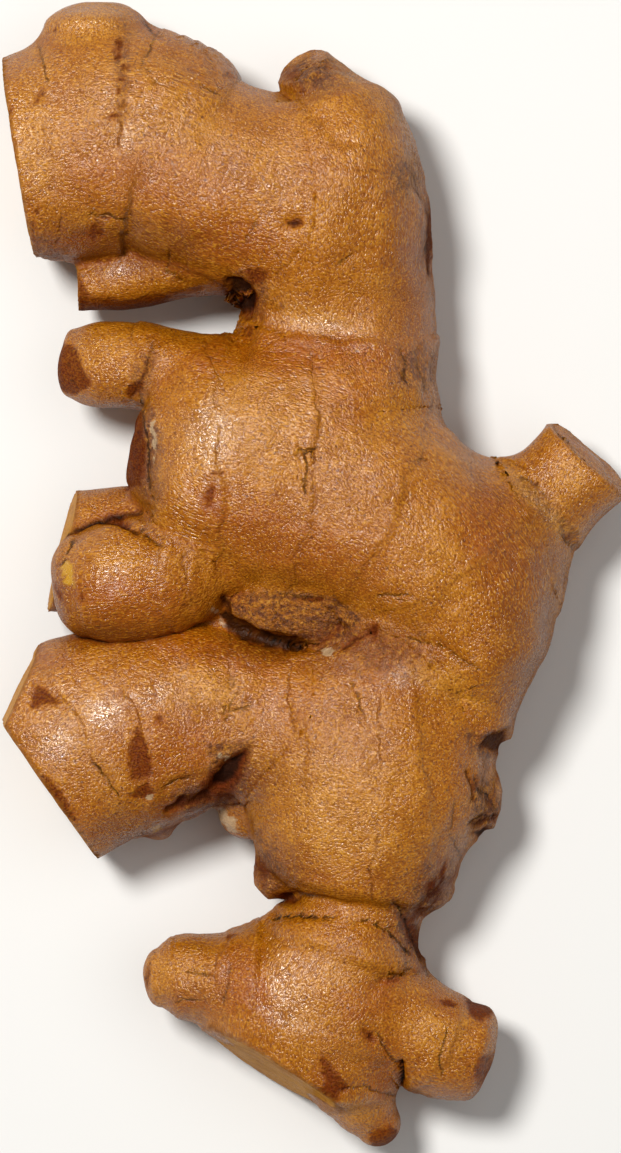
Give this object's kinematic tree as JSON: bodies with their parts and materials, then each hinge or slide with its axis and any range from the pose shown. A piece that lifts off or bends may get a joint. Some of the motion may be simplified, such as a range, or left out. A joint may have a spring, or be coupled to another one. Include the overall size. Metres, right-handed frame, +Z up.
{
  "type": "ginger root",
  "caption": "Hand of fresh ginger: a thick knobbly rhizome with blunt fingers, small buds, ring scars and flat cut ends, lying on its flatter side.",
  "frame": {"origin": "on the resting plane, under the middle of the bounding box", "axes": "+Y along the hand towards the broad upper finger, +X towards the stem stub, +Z up from the surface it rests on"},
  "size_m": [0.0984, 0.1802, 0.0366],
  "materials": {
    "skin": "leathery golden-brown rhizome skin with a soft sheen, darker in the creases and on the bud scars, pale tan on the cut faces"
  },
  "bodies": {
    "root": {"ginger_root": "skin"}
  },
  "joints": []
}
